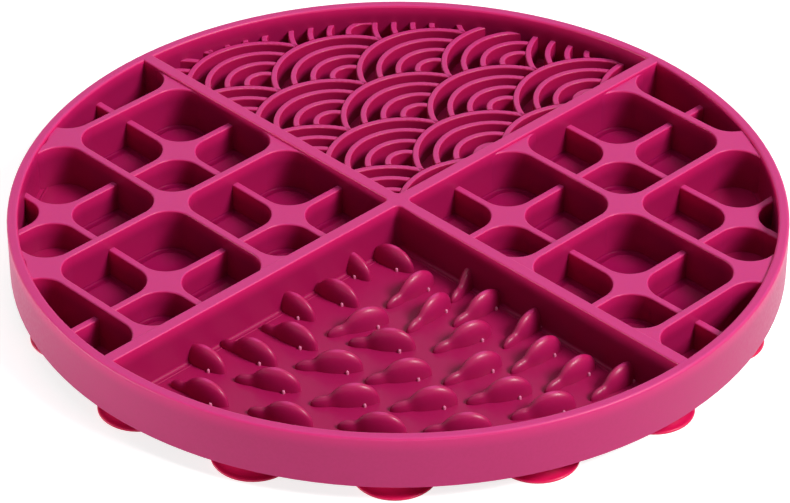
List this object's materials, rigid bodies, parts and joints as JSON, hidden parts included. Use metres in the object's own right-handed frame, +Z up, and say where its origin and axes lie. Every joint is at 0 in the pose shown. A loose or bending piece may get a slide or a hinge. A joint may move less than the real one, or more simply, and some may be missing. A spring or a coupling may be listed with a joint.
{
  "type": "lick mat",
  "caption": "Round silicone lick mat: a shallow tray split into quarters of grid pockets, wave ribs and fish-shaped nubs, on a ring of suction cups that flatten when pressed down.",
  "frame": {"origin": "middle of the plane on which the feet of the suction cups stand", "axes": "+Z up out of the tray, +X right and +Y back as in the picture; the dividers lie at 45 degrees to X and Y, the wave quarter is at +Y and the nub quarter at -Y"},
  "size_m": [0.2, 0.2, 0.0194],
  "materials": {
    "silicone": "satin"
  },
  "bodies": {
    "mat": {"base_plate": "silicone", "outer_rim": "silicone", "cross_divider": "silicone", "left_grid_walls": "silicone", "left_cross_walls": "silicone", "right_grid_walls": "silicone", "right_cross_walls": "silicone", "wave_ribs": "silicone", "nub_field": "silicone", "cup_01_skirt": "silicone", "cup_02_skirt": "silicone", "cup_03_skirt": "silicone", "cup_04_skirt": "silicone", "cup_05_skirt": "silicone", "cup_06_skirt": "silicone", "cup_07_skirt": "silicone", "cup_08_skirt": "silicone", "cup_09_skirt": "silicone", "cup_10_skirt": "silicone", "cup_11_skirt": "silicone", "cup_12_skirt": "silicone", "cup_13_skirt": "silicone", "cup_14_skirt": "silicone", "cup_15_skirt": "silicone", "cup_16_skirt": "silicone"},
    "cup_01": {"cup_01_lip": "silicone"},
    "cup_02": {"cup_02_lip": "silicone"},
    "cup_03": {"cup_03_lip": "silicone"},
    "cup_04": {"cup_04_lip": "silicone"},
    "cup_05": {"cup_05_lip": "silicone"},
    "cup_06": {"cup_06_lip": "silicone"},
    "cup_07": {"cup_07_lip": "silicone"},
    "cup_08": {"cup_08_lip": "silicone"},
    "cup_09": {"cup_09_lip": "silicone"},
    "cup_10": {"cup_10_lip": "silicone"},
    "cup_11": {"cup_11_lip": "silicone"},
    "cup_12": {"cup_12_lip": "silicone"},
    "cup_13": {"cup_13_lip": "silicone"},
    "cup_14": {"cup_14_lip": "silicone"},
    "cup_15": {"cup_15_lip": "silicone"},
    "cup_16": {"cup_16_lip": "silicone"}
  },
  "joints": [
    {"name": "cup_01_press", "type": "slide", "parent": "mat", "child": "cup_01", "axis": [0, 0, 1], "range_m": [0, 0.0025], "stiffness_N_per_m": 800, "deforming": ["cup_01_skirt"]},
    {"name": "cup_02_press", "type": "slide", "parent": "mat", "child": "cup_02", "axis": [0, 0, 1], "range_m": [0, 0.0025], "stiffness_N_per_m": 800, "deforming": ["cup_02_skirt"]},
    {"name": "cup_03_press", "type": "slide", "parent": "mat", "child": "cup_03", "axis": [0, 0, 1], "range_m": [0, 0.0025], "stiffness_N_per_m": 800, "deforming": ["cup_03_skirt"]},
    {"name": "cup_04_press", "type": "slide", "parent": "mat", "child": "cup_04", "axis": [0, 0, 1], "range_m": [0, 0.0025], "stiffness_N_per_m": 800, "deforming": ["cup_04_skirt"]},
    {"name": "cup_05_press", "type": "slide", "parent": "mat", "child": "cup_05", "axis": [0, 0, 1], "range_m": [0, 0.0025], "stiffness_N_per_m": 800, "deforming": ["cup_05_skirt"]},
    {"name": "cup_06_press", "type": "slide", "parent": "mat", "child": "cup_06", "axis": [0, 0, 1], "range_m": [0, 0.0025], "stiffness_N_per_m": 800, "deforming": ["cup_06_skirt"]},
    {"name": "cup_07_press", "type": "slide", "parent": "mat", "child": "cup_07", "axis": [0, 0, 1], "range_m": [0, 0.0025], "stiffness_N_per_m": 800, "deforming": ["cup_07_skirt"]},
    {"name": "cup_08_press", "type": "slide", "parent": "mat", "child": "cup_08", "axis": [0, 0, 1], "range_m": [0, 0.0025], "stiffness_N_per_m": 800, "deforming": ["cup_08_skirt"]},
    {"name": "cup_09_press", "type": "slide", "parent": "mat", "child": "cup_09", "axis": [0, 0, 1], "range_m": [0, 0.0025], "stiffness_N_per_m": 800, "deforming": ["cup_09_skirt"]},
    {"name": "cup_10_press", "type": "slide", "parent": "mat", "child": "cup_10", "axis": [0, 0, 1], "range_m": [0, 0.0025], "stiffness_N_per_m": 800, "deforming": ["cup_10_skirt"]},
    {"name": "cup_11_press", "type": "slide", "parent": "mat", "child": "cup_11", "axis": [0, 0, 1], "range_m": [0, 0.0025], "stiffness_N_per_m": 800, "deforming": ["cup_11_skirt"]},
    {"name": "cup_12_press", "type": "slide", "parent": "mat", "child": "cup_12", "axis": [0, 0, 1], "range_m": [0, 0.0025], "stiffness_N_per_m": 800, "deforming": ["cup_12_skirt"]},
    {"name": "cup_13_press", "type": "slide", "parent": "mat", "child": "cup_13", "axis": [0, 0, 1], "range_m": [0, 0.0025], "stiffness_N_per_m": 800, "deforming": ["cup_13_skirt"]},
    {"name": "cup_14_press", "type": "slide", "parent": "mat", "child": "cup_14", "axis": [0, 0, 1], "range_m": [0, 0.0025], "stiffness_N_per_m": 800, "deforming": ["cup_14_skirt"]},
    {"name": "cup_15_press", "type": "slide", "parent": "mat", "child": "cup_15", "axis": [0, 0, 1], "range_m": [0, 0.0025], "stiffness_N_per_m": 800, "deforming": ["cup_15_skirt"]},
    {"name": "cup_16_press", "type": "slide", "parent": "mat", "child": "cup_16", "axis": [0, 0, 1], "range_m": [0, 0.0025], "stiffness_N_per_m": 800, "deforming": ["cup_16_skirt"]}
  ]
}
